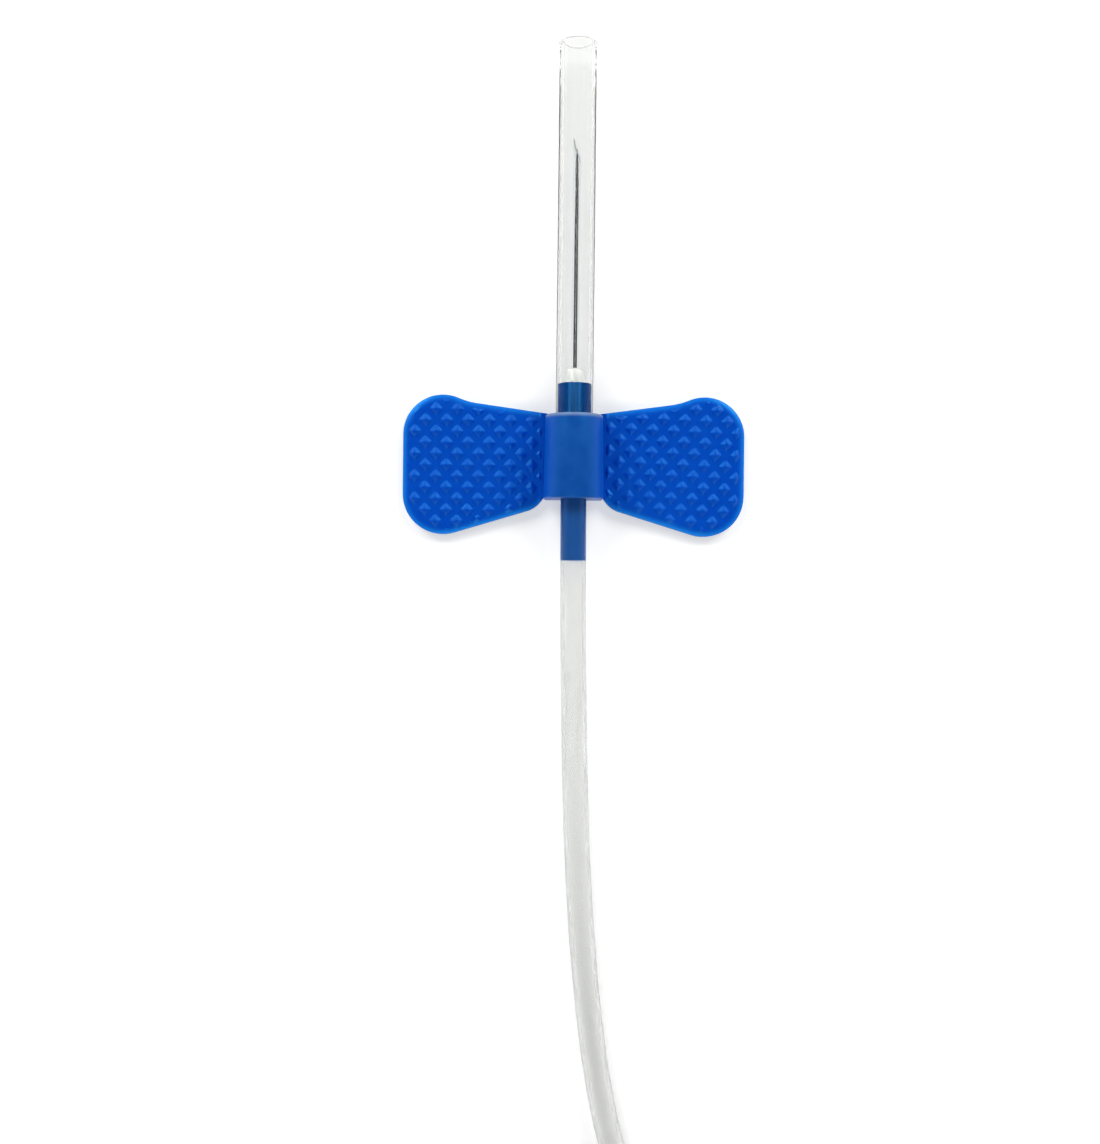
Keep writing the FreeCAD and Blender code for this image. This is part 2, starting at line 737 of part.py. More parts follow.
make_hub()
make_needle()
make_bead("needle_adhesive", "hub_front", "1", "bead_radius", "bead_height", "( needle_radius + bond_gap )",
          "axis_height", lambda body: None)
make_sheath()
make_wing_moulding()
make_tube("tubing", TUBE_ROUTE, size("spigot_back") - size("hub_core_back") + size("bond_gap"))
make_coil()
make_tube("tubing_end", END_ROUTE)
make_rear_hub()
make_rear_needle()
make_bead("rear_adhesive", f"0 - {NOSE_BACK}", "-1", "rear_bead_radius", "rear_bead_height",
          "( rear_needle_radius + bond_gap )", "flange_radius", to_rear)
make_rubber_sleeve()
make_rear_cap()
doc.recompute()

# Nothing is written unless every feature and every sub-part is sound

for thing in doc.Objects:
    if "Invalid" in thing.State or "Error" in thing.State:
        raise RuntimeError(f"{thing.Name} failed: {thing.State}")
for thing in SUB_PARTS:
    shape = thing.Shape
    if shape.isNull() or not shape.isValid() or len(shape.Solids) != 1:
        raise RuntimeError(f"{thing.Label}: null, not valid or {len(shape.Solids)} solids")

os.makedirs("parts", exist_ok=True)
for thing in SUB_PARTS:
    thing.Shape.exportStep(f"parts/{thing.Label}.step")
    box = thing.Shape.BoundBox
    print(f"{thing.Label}: {box.XLength:.2f} x {box.YLength:.2f} x {box.ZLength:.2f} mm, "
          f"volume {thing.Shape.Volume:.3f} mm3, lowest {box.ZMin:.2f}")
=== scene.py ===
# %% [markdown]
# # A winged blood collection needle
# The set lies on its flat wings, knurled side up, as it would on a table. The construction solids
# are loaded as a fixed frame, and finer pieces are dressed over them. Everything is drawn in
# millimetres and made metres at the end, because Blender's mesh tools work better on numbers near 1
# than near 0.001.

import math

import bmesh
import bpy
from mathutils import Matrix, Vector, kdtree


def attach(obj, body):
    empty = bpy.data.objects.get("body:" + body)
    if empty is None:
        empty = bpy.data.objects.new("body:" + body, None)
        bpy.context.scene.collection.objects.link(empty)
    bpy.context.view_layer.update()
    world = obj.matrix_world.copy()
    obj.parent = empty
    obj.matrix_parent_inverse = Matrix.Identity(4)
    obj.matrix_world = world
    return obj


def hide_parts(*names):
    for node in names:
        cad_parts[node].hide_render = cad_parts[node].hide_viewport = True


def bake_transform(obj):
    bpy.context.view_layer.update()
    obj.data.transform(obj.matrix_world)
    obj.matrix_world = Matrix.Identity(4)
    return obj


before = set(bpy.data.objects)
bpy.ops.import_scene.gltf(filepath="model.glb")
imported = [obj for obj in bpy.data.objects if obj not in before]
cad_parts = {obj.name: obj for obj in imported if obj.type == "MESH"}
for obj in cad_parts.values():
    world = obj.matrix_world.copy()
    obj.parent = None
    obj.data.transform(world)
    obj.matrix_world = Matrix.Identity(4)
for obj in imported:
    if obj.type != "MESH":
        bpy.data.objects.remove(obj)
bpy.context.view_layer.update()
MM = 0.001
print("nodes:", sorted(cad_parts))


# %% [markdown]
# ## From a bmesh to a piece
# Each piece is closed, its faces point outwards, and its object stays at the origin. Turned and
# moulded plastic has no knife edges, so a small bevel catches the light where two faces meet.

# %% Helpers that shape
# Distances in mm below which two places count as level, an edge as nothing and two vertices as one.
LEVEL, SLIVER, WELD = 1e-6, 1e-5, 1e-4


def bevel_edges(bm, edges, width, segments):
    bmesh.ops.bevel(bm, geom=edges, offset=width, offset_type="OFFSET", segments=segments,
                    profile=0.5, affect="EDGES", clamp_overlap=True, material=-1)


def soften(bm, width, angle=30, segments=3):
    """Round every edge that is sharper than an angle."""
    bm.normal_update()
    limit = math.radians(angle)
    sharp = [e for e in bm.edges if len(e.link_faces) == 2 and e.calc_face_angle(0) > limit]
    bevel_edges(bm, sharp, width, segments)


def turned(profile, steps=96, closed=True):
    """Spin a chain of (radius, along Y) corners round the Y axis. An open one ends on the axis."""
    bm = bmesh.new()
    chain = [bm.verts.new((radius, along, 0)) for radius, along in profile]
    following = chain[1:] + chain[:1] if closed else chain[1:]
    edges = [bm.edges.new(link) for link in zip(chain, following)]
    bmesh.ops.spin(bm, geom=chain + edges, cent=(0, 0, 0), axis=(0, 1, 0), dvec=(0, 0, 0),
                   angle=math.tau, steps=steps, use_merge=True, use_duplicate=False)
    bmesh.ops.remove_doubles(bm, verts=bm.verts, dist=WELD)
    bmesh.ops.dissolve_degenerate(bm, dist=SLIVER, edges=bm.edges)
    bmesh.ops.recalc_face_normals(bm, faces=bm.faces)
    return bm


def shift(bm, x=0, y=0, z=0):
    bmesh.ops.translate(bm, vec=(x, y, z), verts=bm.verts)
    return bm


def merge(bm, other):
    """Put another bmesh's faces into this one."""
    part = bpy.data.meshes.new("part")
    other.to_mesh(part)
    other.free()
    bm.from_mesh(part)
    bpy.data.meshes.remove(part)


# %% Helpers that finish
def as_object(name, bm):
    """A mesh object, still in millimetres."""
    mesh = bpy.data.meshes.new(name)
    bm.to_mesh(mesh)
    bm.free()
    thing = bpy.data.objects.new(name, mesh)
    bpy.context.collection.objects.link(thing)
    return thing


def apply_modifiers(thing):
    graph = bpy.context.evaluated_depsgraph_get()
    baked = bpy.data.meshes.new_from_object(thing.evaluated_get(graph))
    old = thing.data
    thing.modifiers.clear()
    thing.data = baked
    bpy.data.meshes.remove(old)


def finished(thing, material, sharp=32):
    """Metres, smooth shading between soft edges, and the finish."""
    mesh = thing.data
    mesh.transform(Matrix.Scale(MM, 4))
    mesh.polygons.foreach_set("use_smooth", [True] * len(mesh.polygons))
    mesh.set_sharp_from_angle(angle=math.radians(sharp))
    mesh.materials.append(material)
    mesh.update()
    print(f"{thing.name}: {len(mesh.polygons)} faces")
    return thing


# %% [markdown]
# ## Camera, floor and light
# The camera looks straight down from 127 mm above the needle, so the wings' far corners and the
# sheath's open end lean outwards a little. The floor is a pale sheet that shows as white, and still
# takes the object's shadow. A polished needle mirrors what is round it: walls that are bright and a
# ceiling that is darker give it a dark core between two light edges.

# %% Camera
PHOTO_WIDE, PHOTO_HIGH = 1100, 1144
PIXELS_PER_MM = 11.84
# The photograph's pixel that shows the origin, on the needle's axis.
ORIGIN_PIXEL = Vector((573.9, 455.2))
AXIS_HEIGHT = 2.75
CAMERA_ABOVE_AXIS = 127.0
LEAN = math.radians(0.63)
SENSOR = 36
CLIP_NEAR, CLIP_FAR = 0.005, 20

camera_data = bpy.data.cameras.new("photo_camera")
camera_data.sensor_width = SENSOR
camera_data.lens = PIXELS_PER_MM * CAMERA_ABOVE_AXIS * SENSOR / PHOTO_HIGH
camera_data.clip_start = CLIP_NEAR
camera_data.clip_end = CLIP_FAR
camera = bpy.data.objects.new("photo_camera", camera_data)
bpy.context.collection.objects.link(camera)
aside = (PHOTO_WIDE / 2 - ORIGIN_PIXEL.x) / PIXELS_PER_MM
ahead = (ORIGIN_PIXEL.y - PHOTO_HIGH / 2) / PIXELS_PER_MM
right = Vector((math.cos(LEAN), math.sin(LEAN)))
up = Vector((-math.sin(LEAN), math.cos(LEAN)))
spot = right * aside + up * ahead
camera.location = Vector((spot.x, spot.y, AXIS_HEIGHT + CAMERA_ABOVE_AXIS)) * MM
camera.rotation_euler = (0, 0, LEAN)
bpy.context.scene.camera = camera
print(f"lens {camera_data.lens:.1f} mm, camera over ({spot.x:.2f}, {spot.y:.2f}) mm")


# %% Floor
FLOOR_HALF = 0.5
PAPER = (0.76, 0.765, 0.76, 1)
WHITE = (1, 1, 1, 1)
# How much of its own light the paper gives to each kind of ray, so that it shows as white.
LIFT = [("Is Camera Ray", 0.36), ("Is Glossy Ray", 0.32), ("Is Transmission Ray", -0.14)]


def new_material(name):
    material = bpy.data.materials.new(name)
    material.use_nodes = True
    return material


def main_shader(material):
    return material.node_tree.nodes["Principled BSDF"]


def set_inputs(node, values):
    for name, value in values.items():
        node.inputs[name].default_value = value


def weighted_rays(tree, weights):
    """The sum of some numbers, each given to one kind of ray, never below nought."""
    rays = tree.nodes.new("ShaderNodeLightPath")
    total = None
    for kind, weight in weights:
        part = tree.nodes.new("ShaderNodeMath")
        part.operation = "MULTIPLY_ADD"
        part.use_clamp = True
        part.inputs[1].default_value = weight
        part.inputs[2].default_value = 0
        tree.links.new(rays.outputs[kind], part.inputs[0])
        if total is not None:
            tree.links.new(total, part.inputs[2])
        total = part.outputs[0]
    return total


paper = new_material("pale_paper")
shader = main_shader(paper)
set_inputs(shader, {"Base Color": PAPER, "Roughness": 0.9, "Specular IOR Level": 0.1,
                    "Emission Color": WHITE})
tree = paper.node_tree
tree.links.new(weighted_rays(tree, LIFT), shader.inputs["Emission Strength"])
bm = bmesh.new()
bmesh.ops.create_grid(bm, x_segments=1, y_segments=1, size=FLOOR_HALF)
floor = as_object("floor", bm)
floor.data.materials.append(paper)
print("floor:", FLOOR_HALF * 2, "m")


# %% Light
def softbox(name, place, wide, long, watts):
    """A lamp that looks at the origin. Its place and sides are in metres."""
    lamp = bpy.data.lights.new(name, "AREA")
    lamp.shape = "RECTANGLE"
    lamp.size = wide
    lamp.size_y = long
    lamp.energy = watts
    thing = bpy.data.objects.new(name, lamp)
    bpy.context.collection.objects.link(thing)
    thing.location = place
    thing.rotation_euler = Vector(place).to_track_quat("Z", "Y").to_euler()


softbox("key_left", (-0.30, 0.34, 0.34), 0.26, 0.26, 1.75)
softbox("key_right", (0.30, 0.34, 0.34), 0.26, 0.26, 1.75)
softbox("fill_tube_end", (0.0, -0.46, 0.40), 0.30, 0.30, 1.3)
softbox("strip_overhead", (0.0, 0.02, 0.60), 0.02, 0.36, 0.08)
print("lamps:", len(bpy.data.lights))


# %% World
# How high a direction points where wall turns into ceiling: 0 is level, 1 is straight up.
CEILING_STARTS, CEILING_FULL = 0.47, 0.56
WALL_GLOW, CEILING_GLOW = 1.0, 0.05

world = bpy.data.worlds.new("walls_and_ceiling")
bpy.context.scene.world = world
world.use_nodes = True
tree = world.node_tree
background = tree.nodes["Background"]
direction = tree.nodes.new("ShaderNodeTexCoord")
split = tree.nodes.new("ShaderNodeSeparateXYZ")
rise = tree.nodes.new("ShaderNodeMapRange")
set_inputs(rise, {"From Min": CEILING_STARTS, "From Max": CEILING_FULL,
                  "To Min": WALL_GLOW, "To Max": CEILING_GLOW})
tree.links.new(direction.outputs["Generated"], split.inputs[0])
tree.links.new(split.outputs["Z"], rise.inputs["Value"])
tree.links.new(rise.outputs["Result"], background.inputs["Strength"])
set_inputs(background, {"Color": WHITE})
bpy.context.scene.view_settings.view_transform = "Standard"
print("world: bright walls, dark ceiling")


# %% [markdown]
# ## Patterns that several finishes share
# Moulded plastic is never perfectly even: its gloss wanders over a few millimetres, and its skin
# carries the fine grain of the mould. One node group gives both, with its own strength in each use.

# %% Skin group
PATCH_SCALE, GRAIN_SCALE = 300.0, 6000.0
PATCH_LOW, PATCH_HIGH = 0.3, 0.7
GRAIN_DEPTH = 0.00002

skin = bpy.data.node_groups.new("moulded_skin", "ShaderNodeTree")
for name, value in (("Patch Scale", PATCH_SCALE), ("Grain Scale", GRAIN_SCALE),
                    ("Low Roughness", 0.3), ("High Roughness", 0.4)):
    socket = skin.interface.new_socket(name=name, in_out="INPUT", socket_type="NodeSocketFloat")
    socket.default_value = value
for name in ("Roughness", "Patches", "Height"):
    skin.interface.new_socket(name=name, in_out="OUTPUT", socket_type="NodeSocketFloat")
entry = skin.nodes.new("NodeGroupInput")
leave = skin.nodes.new("NodeGroupOutput")
where = skin.nodes.new("ShaderNodeTexCoord")
patches = skin.nodes.new("ShaderNodeTexNoise")
grain = skin.nodes.new("ShaderNodeTexNoise")
gloss = skin.nodes.new("ShaderNodeMapRange")
set_inputs(gloss, {"From Min": PATCH_LOW, "From Max": PATCH_HIGH})
for noise, scale, detail in ((patches, "Patch Scale", 3), (grain, "Grain Scale", 2)):
    set_inputs(noise, {"Detail": detail})
    skin.links.new(where.outputs["Object"], noise.inputs["Vector"])
    skin.links.new(entry.outputs[scale], noise.inputs["Scale"])
skin.links.new(patches.outputs["Fac"], gloss.inputs["Value"])
skin.links.new(entry.outputs["Low Roughness"], gloss.inputs["To Min"])
skin.links.new(entry.outputs["High Roughness"], gloss.inputs["To Max"])
skin.links.new(gloss.outputs["Result"], leave.inputs["Roughness"])
skin.links.new(patches.outputs["Fac"], leave.inputs["Patches"])
skin.links.new(grain.outputs["Fac"], leave.inputs["Height"])
print("group:", skin.name)


# %% Plastic from the skin group
def plastic(name, colour, second, low, high, bump=0.05, specular=0.5, tint=(1, 1, 1),
            patch=PATCH_SCALE):
    """Moulded plastic. Its colour wanders between two near shades, its gloss from low to high."""
    material = new_material(name)
    tree, shader = material.node_tree, main_shader(material)
    use = tree.nodes.new("ShaderNodeGroup")
    use.node_tree = skin
    set_inputs(use, {"Patch Scale": patch, "Grain Scale": GRAIN_SCALE,
                     "Low Roughness": low, "High Roughness": high})
    blend = tree.nodes.new("ShaderNodeMix")
    blend.data_type = "RGBA"
    set_inputs(blend, {"A": (*colour, 1), "B": (*second, 1)})
    relief = tree.nodes.new("ShaderNodeBump")
    set_inputs(relief, {"Strength": bump, "Distance": GRAIN_DEPTH})
    tree.links.new(use.outputs["Patches"], blend.inputs["Factor"])
    tree.links.new(blend.outputs["Result"], shader.inputs["Base Color"])
    tree.links.new(use.outputs["Roughness"], shader.inputs["Roughness"])
    tree.links.new(use.outputs["Height"], relief.inputs["Height"])
    tree.links.new(relief.outputs["Normal"], shader.inputs["Normal"])
    set_inputs(shader, {"Specular IOR Level": specular, "Specular Tint": (*tint, 1)})
    return material


def paint_light_and_shade_along(material, axis, start, end, shade, mirrored=False):
    """Painted light and shade: turn a finish towards another colour along its own axis, from start
    to end in mm.
    """
    tree, shader = material.node_tree, main_shader(material)
    colour = shader.inputs["Base Color"].links[0].from_socket
    where = tree.nodes.new("ShaderNodeTexCoord")
    split = tree.nodes.new("ShaderNodeSeparateXYZ")
    place = split.outputs[axis]
    if mirrored:
        size = tree.nodes.new("ShaderNodeMath")
        size.operation = "ABSOLUTE"
        tree.links.new(place, size.inputs[0])
        place = size.outputs[0]
    share = tree.nodes.new("ShaderNodeMapRange")
    share.interpolation_type = "SMOOTHSTEP"
    set_inputs(share, {"From Min": start * MM, "From Max": end * MM})
    mix = tree.nodes.new("ShaderNodeMix")
    mix.data_type = "RGBA"
    set_inputs(mix, {"B": (*shade, 1)})
    tree.links.new(where.outputs["Object"], split.inputs[0])
    tree.links.new(place, share.inputs["Value"])
    tree.links.new(share.outputs["Result"], mix.inputs["Factor"])
    tree.links.new(colour, mix.inputs["A"])
    tree.links.new(mix.outputs["Result"], shader.inputs["Base Color"])


# %% Blue finishes
BLUE_GLINT = (0.05, 0.55, 1.0)
HUB_GLINT = (0.08, 0.55, 1.0)

wing_blue = plastic("wing_blue", (0.0003, 0.052, 0.44), (0.0008, 0.062, 0.48), 0.26, 0.36,
                    specular=0.7, tint=BLUE_GLINT)
# Painted highlight: the rounded rim is painted paler, as if it caught the light. Painted shade: the
# plate's lower edge and underside are painted darker.
paint_light_and_shade_along(wing_blue, "Z", 0.99, 0.86, (0.006, 0.17, 0.66))
paint_light_and_shade_along(wing_blue, "Z", 0.72, 0.60, (0.004, 0.07, 0.22))
set_inputs(main_shader(wing_blue), {"Subsurface Weight": 0.35, "Subsurface Scale": 0.0004,
                                    "Subsurface Radius": (0.1, 0.35, 1.0)})

barrel_blue = plastic("barrel_blue", (0.0015, 0.054, 0.30), (0.010, 0.084, 0.39), 0.34, 0.42,
                      specular=0.5, tint=BLUE_GLINT, patch=900.0)
# Painted light: the flanks are painted a brighter blue and the middle over the hub's core darker,
# and the front edge is painted pale, as light through the thin wall would make them.
paint_light_and_shade_along(barrel_blue, "X", 0.9, 2.5, (0.0006, 0.078, 0.50), mirrored=True)
paint_light_and_shade_along(barrel_blue, "Y", 3.0, 3.3, (0.16, 0.23, 0.42))
set_inputs(main_shader(barrel_blue), {"Transmission Weight": 0.12})

hub_blue = plastic("hub_blue", (0.018, 0.105, 0.31), (0.020, 0.110, 0.32), 0.12, 0.17,
                   specular=0.25, tint=HUB_GLINT)
# Painted highlight: a paler line is painted along its middle. Painted light: its tail inside the
# tube is painted paler, for the light that reaches it through the tube.
paint_light_and_shade_along(hub_blue, "X", 0.08, 0.42, (0.0007, 0.043, 0.21), mirrored=True)
paint_light_and_shade_along(hub_blue, "Y", -3.4, -3.8, (0.014, 0.098, 0.42))
print("blue finishes: wings, barrel, hub")


# %% White and grey finishes
pale_glue = plastic("pale_glue", (0.90, 0.91, 0.88), (0.93, 0.94, 0.91), 0.2, 0.3, bump=0.1)
rear_white = plastic("rear_hub_white", (0.76, 0.77, 0.76), (0.80, 0.81, 0.80), 0.28, 0.36)
rubber_grey = plastic("rubber_grey", (0.22, 0.23, 0.24), (0.25, 0.26, 0.27), 0.6, 0.7, bump=0.2)
cap_white = plastic("cap_milky", (0.68, 0.70, 0.71), (0.72, 0.74, 0.75), 0.25, 0.35)
set_inputs(main_shader(cap_white), {"Subsurface Weight": 0.5, "Subsurface Scale": 0.0005,
                                    "Subsurface Radius": (1.0, 1.0, 1.0)})
print("white and grey finishes: glue, rear hub, rubber, cap")


# %% Clear plastic
CLEAR_GLINT = (0.3, 0.3, 0.3)


def clear_plastic(name, colour, low, high, ior, clear=1.0):
    """Glass-like plastic. A low glint keeps its own reflections off what is seen through it."""
    material = plastic(name, colour, colour, low, high, bump=0.02, tint=CLEAR_GLINT)
    set_inputs(main_shader(material), {"Transmission Weight": clear, "IOR": ior})
    return material


sheath_clear = clear_plastic("sheath_clear", (0.965, 0.97, 0.965), 0.08, 0.13, ior=1.2)
tube_clear = clear_plastic("tube_clear", (0.985, 0.99, 0.98), 0.12, 0.18, ior=1.45, clear=0.78)
# Painted light: the clear tube is painted blue as far as the hub's spigot fills it, for the blue
# seen through its wall.
paint_light_and_shade_along(tube_clear, "Y", -8.95, -8.85, (0.055, 0.28, 0.66))
print("clear finishes: sheath, tube")


# %% Steel
def brushed_steel(name, colour, low, high, grain):
    """Steel whose gloss runs in fine lines. The grain's three scales give the way of the lines."""
    material = new_material(name)
    tree, shader = material.node_tree, main_shader(material)
    where = tree.nodes.new("ShaderNodeTexCoord")
    stretch = tree.nodes.new("ShaderNodeMapping")
    lines = tree.nodes.new("ShaderNodeTexNoise")
    gloss = tree.nodes.new("ShaderNodeMapRange")
    set_inputs(stretch, {"Scale": grain})
    set_inputs(lines, {"Scale": 1.0, "Detail": 2})
    set_inputs(gloss, {"To Min": low, "To Max": high})
    tree.links.new(where.outputs["Object"], stretch.inputs["Vector"])
    tree.links.new(stretch.outputs["Vector"], lines.inputs["Vector"])
    tree.links.new(lines.outputs["Fac"], gloss.inputs["Value"])
    tree.links.new(gloss.outputs["Result"], shader.inputs["Roughness"])
    set_inputs(shader, {"Base Color": (*colour, 1), "Metallic": 1.0})
    return material


steel = brushed_steel("needle_steel", (0.82, 0.83, 0.85), 0.06, 0.14, (9000, 250, 9000))
ground_steel = brushed_steel("ground_steel", (0.36, 0.37, 0.39), 0.25, 0.4, (250, 9000, 9000))
print("materials:", len(bpy.data.materials))


# %% [markdown]
# ## Wings
# Each wing is a soft plate with round ears and a hollow waist. Its outline has six corners, and each
# round one is drawn by a vertex spun about the corner's centre. The knurl is what two rows of ridges
# leave where they cross: the plate is remeshed fine enough to carry it, raised by the lower of the
# two ridges at each point, and then smoothed a little, because a soft moulding has no crisp crests.

# %% Wing sizes
WING_THICK = 1.0
FLEX_LINE = 3.1
# Each corner's x and y, and the radius that rounds it.
OUTLINE = [
    (1.9, 3.64, 0),
    (9.2, 4.65, 6.4),
    (14.62, 7.1, 3.4),
    (14.62, -7.94, 3.45),
    (3.22, -4.46, 2.4),
    (1.9, -2.69, 0),
]
ARC_STEPS = 16
RIM_RADIUS, UNDER_RIM = 0.42, 0.15
RIM_WIDE, RIM_DROP = 0.9, 0.16
COLUMN, ROW = 0.91, 0.96
RIDGE_FOOT, RIDGE_TOP, KNURL_HEIGHT = 0.80, 0.34, 0.22
KNURL_STARTS, KNURL_FULL = 0.35, 0.75
VOXEL = 0.065
# What is raised: a skin under the top, from a little inside the flex line outwards.
TOP_SKIN, INSIDE_FLEX = 0.1, 0.25
SMOOTHINGS, SMOOTH_ABOVE = 2, 0.3


# %% Wing plate
def round_corner(bm, here, before, after, radius):
    """Draw one corner of an outline, and give its first and last vertex."""
    if not radius:
        only = bm.verts.new(here)
        return only, only
    back, on = (before - here).normalized(), (after - here).normalized()
    half = back.angle(on) / 2
    first = bm.verts.new(here + back * radius / math.tan(half))
    centre = here + (back + on).normalized() * radius / math.sin(half)
    arc = bmesh.ops.spin(bm, geom=[first], cent=centre, axis=on.cross(back), dvec=(0, 0, 0),
                         angle=math.pi - 2 * half, steps=ARC_STEPS, use_merge=False,
                         use_duplicate=False)
    last = [part for part in arc["geom_last"] if isinstance(part, bmesh.types.BMVert)][0]
    return first, last


def along_edges(edges, gap=0.1):
    """Places along some edges, close together, as a tree that finds the nearest of them."""
    places = []
    for edge in edges:
        start, end = edge.verts[0].co, edge.verts[1].co
        steps = max(1, int((end - start).length / gap))
        places += [start.lerp(end, step / steps) for step in range(steps)]
    tree = kdtree.KDTree(len(places))
    for index, place in enumerate(places):
        tree.insert(place, index)
    tree.balance()
    return tree


def wing_plate(side):
    """The plate without its knurl, and its outline as a tree of places."""
    bm = bmesh.new()
    count = len(OUTLINE)
    corners = [Vector((side * x, y, 0)) for x, y, radius in OUTLINE]
    arcs = [round_corner(bm, corners[i], corners[i - 1], corners[(i + 1) % count], OUTLINE[i][2])
            for i in range(count)]
    for index, arc in enumerate(arcs):
        bm.edges.new((arcs[index - 1][1], arc[0]))
    rim_tree = along_edges(bm.edges)
    bmesh.ops.contextual_create(bm, geom=bm.edges[:])
    flat = bmesh.ops.extrude_face_region(bm, geom=bm.faces[:])
    lifted = [v for v in flat["geom"] if isinstance(v, bmesh.types.BMVert)]
    bmesh.ops.translate(bm, vec=(0, 0, WING_THICK), verts=lifted)
    bmesh.ops.recalc_face_normals(bm, faces=bm.faces)
    for level, width, segments in ((WING_THICK, RIM_RADIUS, 6), (0.0, UNDER_RIM, 2)):
        rim = [e for e in bm.edges if all(abs(v.co.z - level) < LEVEL for v in e.verts)]
        bevel_edges(bm, rim, width, segments)
    return bm, rim_tree


# %% Knurl
def knurl(x, y, anchor, turn):
    """How far the knurl rises above the plate at a point."""
    across = math.cos(turn) * (x - anchor[0]) + math.sin(turn) * (y - anchor[1])
    along = math.cos(turn) * (y - anchor[1]) - math.sin(turn) * (x - anchor[0])
    rise = []
    for sign in (-1, 1):
        phase = (across / COLUMN + sign * along / ROW) / 2
        off_ridge = abs(phase - round(phase)) * 2 * COLUMN * ROW / math.hypot(COLUMN, ROW)
        rise.append((RIDGE_FOOT / 2 - off_ridge) / ((RIDGE_FOOT - RIDGE_TOP) / 2))
    return KNURL_HEIGHT * min(1, max(0, min(rise)))


def raise_top(bm, rim, anchor, turn):
    """Lift the knurl out of the plate's top, and let the top fall off towards its rim."""
    for v in bm.verts:
        if v.co.z <= WING_THICK - TOP_SKIN or abs(v.co.x) <= FLEX_LINE - INSIDE_FLEX:
            continue
        inside = rim.find((v.co.x, v.co.y, 0))[2]
        full = min(1, max(0, (inside - KNURL_STARTS) / (KNURL_FULL - KNURL_STARTS)))
        fall = RIM_DROP * max(0, 1 - inside / RIM_WIDE) ** 2
        v.co.z += full * knurl(v.co.x, v.co.y, anchor, turn) - fall
    for _ in range(SMOOTHINGS):
        upper = [v for v in bm.verts if v.co.z > SMOOTH_ABOVE]
        bmesh.ops.smooth_vert(bm, verts=upper, factor=0.5,
                              use_axis_x=True, use_axis_y=True, use_axis_z=True)


# %% Both wings
def wing(name, side, anchor, turn, node):
    plate, rim = wing_plate(side)
    thing = as_object(name, plate)
    remesh = thing.modifiers.new("fine", "REMESH")
    remesh.mode = "VOXEL"
    remesh.voxel_size = VOXEL
    apply_modifiers(thing)
    bm = bmesh.new()
    bm.from_mesh(thing.data)
    raise_top(bm, rim, anchor, turn)
    bm.to_mesh(thing.data)
    bm.free()
    finished(thing, wing_blue, sharp=60)
    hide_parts(node)
    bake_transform(thing)


wing("left_wing_knurled", -1, (-9.97, 0.15), 0.0, "left_wing")
wing("right_wing_knurled", 1, (12.13, 0.24), math.radians(-2.1), "right_wing")


# %% [markdown]
# ## Barrel
# The barrel is round above and square below, so that it sits flat. A circle gives its section: the
# upper half stays round and the lower half is pushed out to the foot's corners. It narrows a little
# towards the front, and a turned cutter opens the stepped bore.

# %% Barrel sizes
BARREL_AHEAD, BARREL_BACK = 3.42, 3.7
BARREL_FRONT, BARREL_REAR = 2.42, 2.56
BARREL_SIDES, BARREL_EDGE = 128, 0.22
CORE_RADIUS, CORE_BACK = 1.72, -1.3
TUBE_RADIUS, TUBE_BORE = 1.1, 0.75
MOUTH_BEVEL = 0.35
CUTTER_AHEAD, CUTTER_PAST = 5, 1
# Round every stick there is a hair of room: a tight one, and one for parts that slide.
TIGHT, PLAY = 0.01, 0.02


# %% Barrel
def barrel_shell():
    bm = bmesh.new()
    bmesh.ops.create_circle(bm, cap_ends=True, segments=BARREL_SIDES, radius=1.0,
                            matrix=Matrix.Rotation(math.pi / 2, 4, "X"))
    for v in bm.verts:
        x, z = v.co.x * BARREL_REAR, v.co.z * BARREL_REAR
        if z < 0:
            reach = min(BARREL_REAR / max(abs(v.co.x), LEVEL),
                        AXIS_HEIGHT / max(abs(v.co.z), LEVEL))
            x, z = v.co.x * reach, v.co.z * reach
        v.co = Vector((x, -BARREL_BACK, z))
    drawn = bmesh.ops.extrude_face_region(bm, geom=bm.faces[:])
    front = [v for v in drawn["geom"] if isinstance(v, bmesh.types.BMVert)]
    bmesh.ops.translate(bm, vec=(0, BARREL_BACK + BARREL_AHEAD, 0), verts=front)
    for v in front:
        v.co.x *= BARREL_FRONT / BARREL_REAR
        if v.co.z > 0:
            v.co.z *= BARREL_FRONT / BARREL_REAR
    bmesh.ops.recalc_face_normals(bm, faces=bm.faces)
    ends = [e for e in bm.edges if abs(e.verts[0].co.y - e.verts[1].co.y) < LEVEL]
    bevel_edges(bm, ends, BARREL_EDGE, 4)
    return shift(bm, z=AXIS_HEIGHT)


barrel = as_object("wing_barrel", barrel_shell())
cutter = as_object("bore_cutter", shift(turned([
    (0, CUTTER_AHEAD),
    (CORE_RADIUS + TIGHT + MOUTH_BEVEL * 2, BARREL_AHEAD + MOUTH_BEVEL),
    (CORE_RADIUS + TIGHT, BARREL_AHEAD - MOUTH_BEVEL),
    (CORE_RADIUS + TIGHT, CORE_BACK),
    (TUBE_RADIUS + TIGHT, CORE_BACK),
    (TUBE_RADIUS + TIGHT, -BARREL_BACK - CUTTER_PAST),
    (0, -BARREL_BACK - CUTTER_PAST),
], closed=False), z=AXIS_HEIGHT))
bore = barrel.modifiers.new("bore", "BOOLEAN")
bore.operation = "DIFFERENCE"
bore.solver = "EXACT"
bore.object = cutter
apply_modifiers(barrel)
bpy.data.objects.remove(cutter)
finished(barrel, barrel_blue)
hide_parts("wing_sleeve")
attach(barrel, "set")


# %% [markdown]
# ## Hub
# One turned blue stick holds everything together: its front seats the sheath, its thick core is
# welded in the barrel, and its spigot fills the tube's bore. Where the clear plastic grips it there
# is no air between them, so the blue seems as wide as the clear plastic is. Here the stick stands a
# hair into the clear wall, which looks the same.

